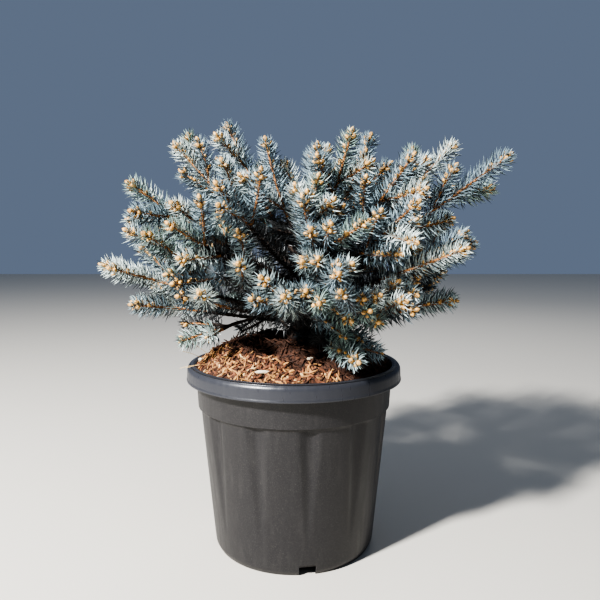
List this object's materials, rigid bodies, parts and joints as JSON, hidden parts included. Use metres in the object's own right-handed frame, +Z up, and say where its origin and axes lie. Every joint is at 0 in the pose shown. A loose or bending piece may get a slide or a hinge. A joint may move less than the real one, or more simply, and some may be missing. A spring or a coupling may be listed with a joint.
{
  "type": "potted blue spruce",
  "caption": "Dwarf blue spruce with stiff silver-blue needles and tan buds, spreading low and wide over bark mulch in a fluted black nursery pot.",
  "frame": {"origin": "middle of the pot's flat underside, at the level of the ground it stands on", "axes": "+Z up along the pot's axis, -Y towards the viewer in the picture, +X to the viewer's right"},
  "size_m": [0.5705, 0.4527, 0.6076],
  "materials": {
    "pot_plastic": "moulded anthracite polypropylene, fine pale specks, satin sheen",
    "soil": "moist peat and bark fines, dark brown, crumbly",
    "bark_mulch": "shredded bark chips, tan orange to dark brown, rough",
    "bark": "young spruce bark, flaky grey brown on the trunk, orange brown on the twigs",
    "needles": "stiff needles with a silver-blue wax bloom, matt"
  },
  "bodies": {
    "root": {"pot": "pot_plastic", "soil": "soil", "mulch": "bark_mulch", "trunk": "bark", "bough_high_back_left": "bark", "bough_high_back_right": "bark", "bough_high_left": "bark", "bough_high_right": "bark", "bough_low_far_left": "bark", "bough_mid_back": "bark", "bough_mid_back_left": "bark", "bough_mid_back_right": "bark", "bough_mid_far_right": "bark", "bough_mid_left": "bark", "bough_top_back": "bark", "bough_top_back_left": "bark", "bough_top_back_mid_left": "bark", "bough_top_back_right": "bark", "bough_top_far_right": "bark", "bough_top_left": "bark", "mass_droop_left": "needles", "mass_droop_right": "needles", "mass_high_back_left": "needles", "mass_high_back_right": "needles", "mass_high_front": "needles", "mass_high_front_left": "needles", "mass_high_front_right": "needles", "mass_high_left": "needles", "mass_high_right": "needles", "mass_low_back": "needles", "mass_low_back_left": "needles", "mass_low_back_right": "needles", "mass_low_far_left": "needles", "mass_low_front": "needles", "mass_low_front_left": "needles", "mass_low_front_mid": "needles", "mass_low_front_right": "needles", "mass_low_left": "needles", "mass_low_left_inner": "needles", "mass_low_right": "needles", "mass_low_right_inner": "needles", "mass_mid_back": "needles", "mass_mid_back_left": "needles", "mass_mid_back_right": "needles", "mass_mid_far_right": "needles", "mass_mid_front": "needles", "mass_mid_front_left": "needles", "mass_mid_left": "needles", "mass_mid_right": "needles", "mass_top_back": "needles", "mass_top_back_left": "needles", "mass_top_back_mid_left": "needles", "mass_top_back_right": "needles", "mass_top_far_right": "needles", "mass_top_front_right": "needles", "mass_top_leader": "needles", "mass_top_left": "needles", "mass_top_mid_left": "needles", "mass_top_mid_right": "needles", "mass_top_right": "needles"}
  },
  "joints": []
}
